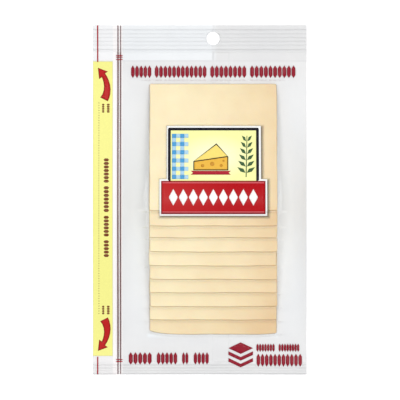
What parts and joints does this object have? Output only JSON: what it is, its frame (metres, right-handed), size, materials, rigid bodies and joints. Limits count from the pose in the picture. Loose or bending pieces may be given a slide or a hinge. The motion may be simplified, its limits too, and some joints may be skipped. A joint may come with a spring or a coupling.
{
  "type": "pack of sliced cheese",
  "caption": "Flat sealed clear film pack of thin square cheese slices laid like roof tiles, with a zipper side, crimped end seals and a round peg hole.",
  "frame": {"origin": "centre of the pack's outline, on the surface that its back rests on", "axes": "+X to the right across the pack as its front is read, +Y from the foot seal to the header with the peg hole, +Z out of the front"},
  "size_m": [0.156, 0.255, 0.0238],
  "materials": {
    "cheese_pack": "cream cheese slices seen through glossy clear film",
    "clear_film": "clear glossy front film with fine wrinkles",
    "white_film": "pale grey-white back film, satin",
    "cheese": "pale cream-yellow cheese, smooth, slightly moist",
    "yellow_print": "pale lemon-yellow print under gloss film",
    "red_print": "deep red print under gloss film",
    "panel_print": "printed front panel in cream, green, blue, navy and red fields"
  },
  "bodies": {
    "root": {"cheese_pack": "cheese_pack"}
  },
  "joints": []
}
